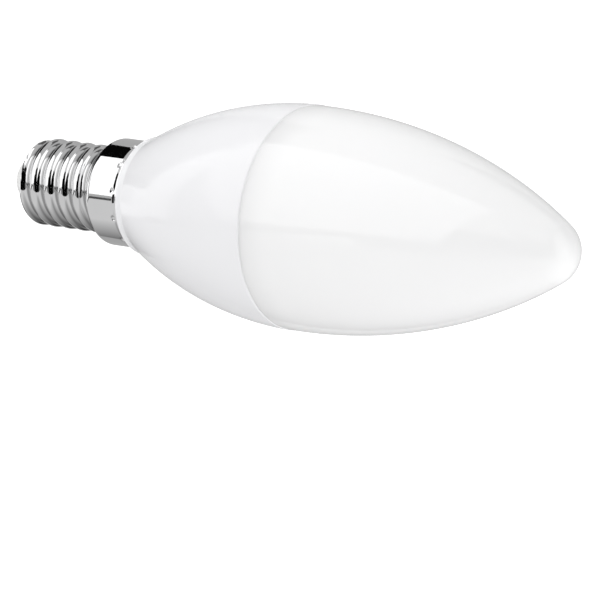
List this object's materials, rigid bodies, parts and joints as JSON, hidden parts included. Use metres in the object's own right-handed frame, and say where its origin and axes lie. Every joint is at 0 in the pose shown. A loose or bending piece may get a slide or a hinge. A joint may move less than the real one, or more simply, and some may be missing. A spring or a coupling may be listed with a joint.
{
  "type": "led candle bulb",
  "caption": "LED candle lamp: opal flame-shaped diffuser on a white tapered housing, with a small plated Edison screw cap and a centre contact.",
  "frame": {"origin": "end of the centre contact, on the lamp's axis", "axes": "+Z along the lamp's axis from the cap to the tip; the lamp stands cap down, and -Y faces the viewer of the picture"},
  "size_m": [0.035, 0.035, 0.106],
  "materials": {
    "opal_diffuser": "satin-smooth opal white polycarbonate",
    "white_housing": "smooth white moulded plastic, low gloss",
    "plated_shell": "bright nickel plating on thin rolled sheet",
    "end_insulator": "white moulded insulator",
    "plated_contact": "bright nickel plating on brass"
  },
  "bodies": {
    "root": {"diffuser": "opal_diffuser", "housing": "white_housing", "screw_shell": "plated_shell", "insulator": "end_insulator", "centre_contact": "plated_contact"}
  },
  "joints": []
}
